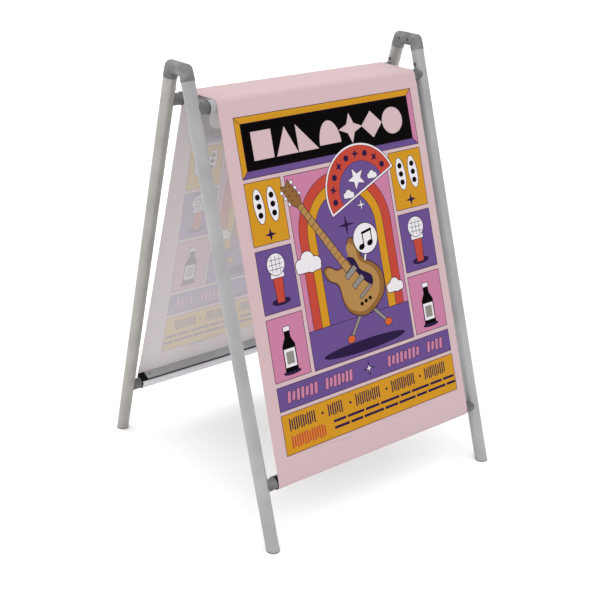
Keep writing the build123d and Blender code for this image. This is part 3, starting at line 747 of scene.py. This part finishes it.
def print_purple_band(art):
    """Rows of upright bars with round ends, either side of a star."""
    low, high = PURPLE_BAND
    art.box("purple", PRINT_LEFT, low, PRINT_RIGHT, high, OUTLINE)
    middle_y = (low + high) / 2
    pitch, margin, slant = 13.5, 8, 1.5
    for first, last in ((-246, -150), (-132, -42), (66, 178), (200, 258)):
        count = round((last - first) / pitch)
        for k in range(count):
            x = first + margin + k * (last - first - 2 * margin) / (count - 1)
            half_tall = 7 if k % 3 == 1 else 10
            ends = [(x - slant, middle_y - half_tall), (x + slant, middle_y + half_tall)]
            art.stroke("hot_pink", ends, 8.5, 1.3)
    art.star("plum", 8, 343, 22)
    art.star("white", 8, 343, 9, waist=0.3)


def print_mustard_band(art):
    """A row of bars with dots between, red bars below it, and two rows of dashes."""
    low, high = MUSTARD_BAND
    art.box("mustard", PRINT_LEFT, low, PRINT_RIGHT, high, OUTLINE)
    stretches = ((-250, -168), (-134, -82), (-48, 34), (68, 148), (180, 256))
    for first, last in stretches:
        rows_of_bars(art, "plum", first, last, 263, 293, 6.6, 3.7)
    for before, after in zip(stretches, stretches[1:]):
        art.disc("plum", (before[1] + after[0]) / 2, 278, 3.4)
    rows_of_bars(art, "red", -250, -140, 221, 252, 7.4, 4.6)
    dashes = {248: (38, 52, 44, 61, 33, 58, 40, 37), 232: (46, 37, 63, 41, 55, 34, 60, 30)}
    half_thick, gap = 3.2, 5
    for row, widths in dashes.items():
        x = -122
        for width in widths:
            art.box("plum", x, row - half_thick, x + width, row + half_thick)
            x += width + gap


def rows_of_bars(art, ink, first, last, low, high, pitch, width):
    """Upright bars of two heights, closely set."""
    for k in range(int((last - first) / pitch)):
        x = first + k * pitch
        short = 3.5 if k % 3 == 1 else 0
        art.box(ink, x, low + short, x + width, high - short * (k % 2))


def whole_print():
    """Every shape of the print, as (ink, outline) from the lowest to the topmost."""
    art = Print()
    print_header(art)
    print_tiles(art)
    print_stage(art)
    print_badge(art)
    print_purple_band(art)
    print_mustard_band(art)
    return art.shapes


# ---------------------------------------------------------------------------------------------
# The banner: one closed sheet with the print in its outer skin and its ghost in the inner skin
# ---------------------------------------------------------------------------------------------

GRID = 0.012                  # division of the panels
FRONT_SLOPE = (0.012, 0.008)  # rise to the right at the print's foot, and how much less at its top
REAR_NARROWED = 0.975
REAR_RIGHT = (239, 255)       # its right edge, at its foot and where the drawing up ends
REAR_DRAWN_TO = 846           # height on the print where the drawing up ends
REAR_RAISED = 58              # how far its middle is drawn up
REAR_MIDDLE, REAR_HALF = 545, 335
REAR_EASED = 42               # how much less it is drawn up that half away from its middle


def front_lie(x, y):
    """The front print's place on its panel: it hangs a touch crooked and narrows by 2 mm."""
    up = (y - PRINT_FOOT) / PRINT_HEIGHT
    slope = FRONT_SLOPE[0] - FRONT_SLOPE[1] * up
    return x + up * (1 - 2 * x / PRINT_WIDTH), y + slope * x - up


def rear_lie(x, y):
    """The rear print is a little narrower, sits to the left, leans, and is drawn up below its header."""
    level = min(y, REAR_DRAWN_TO)
    up = (level - MUSTARD_BAND[0]) / (REAR_DRAWN_TO - MUSTARD_BAND[0])
    right = REAR_RIGHT[0] + (REAR_RIGHT[1] - REAR_RIGHT[0]) * up
    raised = REAR_RAISED - REAR_EASED * ((level - REAR_MIDDLE) / REAR_HALF) ** 2
    return right + REAR_NARROWED * (x - PRINT_RIGHT), y + raised


def printed_panel(columns, lie):
    """Triangles of the flat panel as points (x, distance) and (corners, ink) faces."""
    shapes = whole_print()
    to_distance = AT_RAIL + RAIL_STATION
    points, outlines = [], []
    for ink, outline in shapes:
        outlines.append(range(len(points), len(points) + len(outline)))
        points += [Vector(lie(*point)) * MM for point in outline]
    rows = np.linspace(RAIL_STATION, BAR_STATION, round((BAR_STATION - RAIL_STATION) / GRID) + 1)
    points += [Vector((x, station)) for station in rows for x in columns]
    made, _, faces, _, _, within = delaunay_2d_cdt(
        points, [], [list(outline) for outline in outlines], 0, 1e-8, True
    )
    flat = [(point.x, to_distance - point.y) for point in made]
    inked = [
        (tuple(face), shapes[max(inside)][0] if inside else "cloth")
        for face, inside in zip(faces, within)
    ]
    return flat, inked


def plain_rows(columns, distances, ink="cloth"):
    """A grid of one ink as points (x, distance) and faces."""
    flat = [(x, distance) for distance in distances for x in columns]
    width = len(columns)
    faces = []
    for row in range(len(distances) - 1):
        for column in range(width - 1):
            a = row * width + column
            faces.append(((a + width, a + width + 1, a + 1, a), ink))
    return flat, faces


def whole_cloth(columns):
    """The sheet laid out flat: points (x, distance, side), faces, and each face's ink."""
    bar_row = TOP_STEPS + BAR_BEND_STEPS
    under_rail = bar_row + 1 + RAIL_BEND_STEPS // 2
    plain = [
        plain_rows(columns, DISTANCE[:bar_row + 1]),
        plain_rows(columns, DISTANCE[bar_row + 1:under_rail + 1]),
        plain_rows(columns, DISTANCE[under_rail:], "hem"),
    ]
    index, points, faces, inks = {}, [], [], []
    for side, lie in ((-1, front_lie), (1, rear_lie)):
        for flat, stretch_faces in plain + [printed_panel(columns, lie)]:
            corners = []
            for x, distance in flat:
                x = -side * x
                key = (round(x, 6), round(side * distance, 6))
                if key not in index:
                    index[key] = len(points)
                    points.append((x, distance, side))
                corners.append(index[key])
            for face, ink in stretch_faces:
                faces.append([corners[corner] for corner in face])
                inks.append(ink)
    return np.array(points), faces, inks


def both_skins(faces, count):
    """Faces of the outer skin, the inner skin and the rim that joins them."""
    edges = {(a, b) for face in faces for a, b in zip(face, face[1:] + face[:1])}
    rim = sorted((a, b) for a, b in edges if (b, a) not in edges)
    inner = [[corner + count for corner in reversed(face)] for face in faces]
    return faces + inner + [[b, a, a + count, b + count] for a, b in rim]


def ink_cloth(mesh, inks):
    """Gives the outer skin its inks, the inner skin their ghosts, and the rim plain cloth."""
    names = list(INKS)
    for ink in names:
        mesh.materials.append(cloth_material(f"banner_{ink}", INKS[ink]))
    for ink in names:
        ghost = mixed(mixed(INKS[ink], WHITE, GHOST_PALING), CLOTH_BACK, GHOST_FADING)
        mesh.materials.append(cloth_material(f"banner_back_{ink}", ghost))
    slots = [names.index(ink) for ink in inks]
    slots += [slot + len(names) for slot in slots]
    slots += [names.index("cloth")] * (len(mesh.polygons) - len(slots))
    mesh.polygons.foreach_set("material_index", slots)


def map_cloth(mesh, flat):
    """Records each corner's place on the flat cloth, in metres, for the weave to follow."""
    uv = mesh.uv_layers.new(name="cloth")
    corner_points = np.zeros(len(mesh.loops), np.int32)
    mesh.loops.foreach_get("vertex_index", corner_points)
    uv.data.foreach_set("uv", flat[corner_points % len(flat)].ravel())


def make_banner():
    """The one closed sheet, bent across the hinge between the two top bars."""
    half = BANNER_WIDTH / 2
    columns = np.linspace(-half, half, round(BANNER_WIDTH / GRID) + 1)
    points, faces, inks = whole_cloth(columns)
    x, distance, side = points.T
    outer = cloth_points(x, distance, side, 1)
    inner = cloth_points(x, distance, side, -1)

    mesh = bpy.data.meshes.new("printed_banner")
    mesh.from_pydata(np.vstack((outer, inner)).tolist(), [], both_skins(faces, len(points)))
    ink_cloth(mesh, inks)
    map_cloth(mesh, np.column_stack((x, side * distance)))
    mesh.shade_smooth()
    mesh.set_sharp_from_angle(angle=math.radians(60))
    mesh.validate()
    banner = bpy.data.objects.new("printed_banner", mesh)
    bpy.context.scene.collection.objects.link(banner)

    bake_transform(banner)
    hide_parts("front_banner", "rear_banner", "banner_top")


# ---------------------------------------------------------------------------------------------

make_camera()
make_studio()
dress_frame()
make_banner()
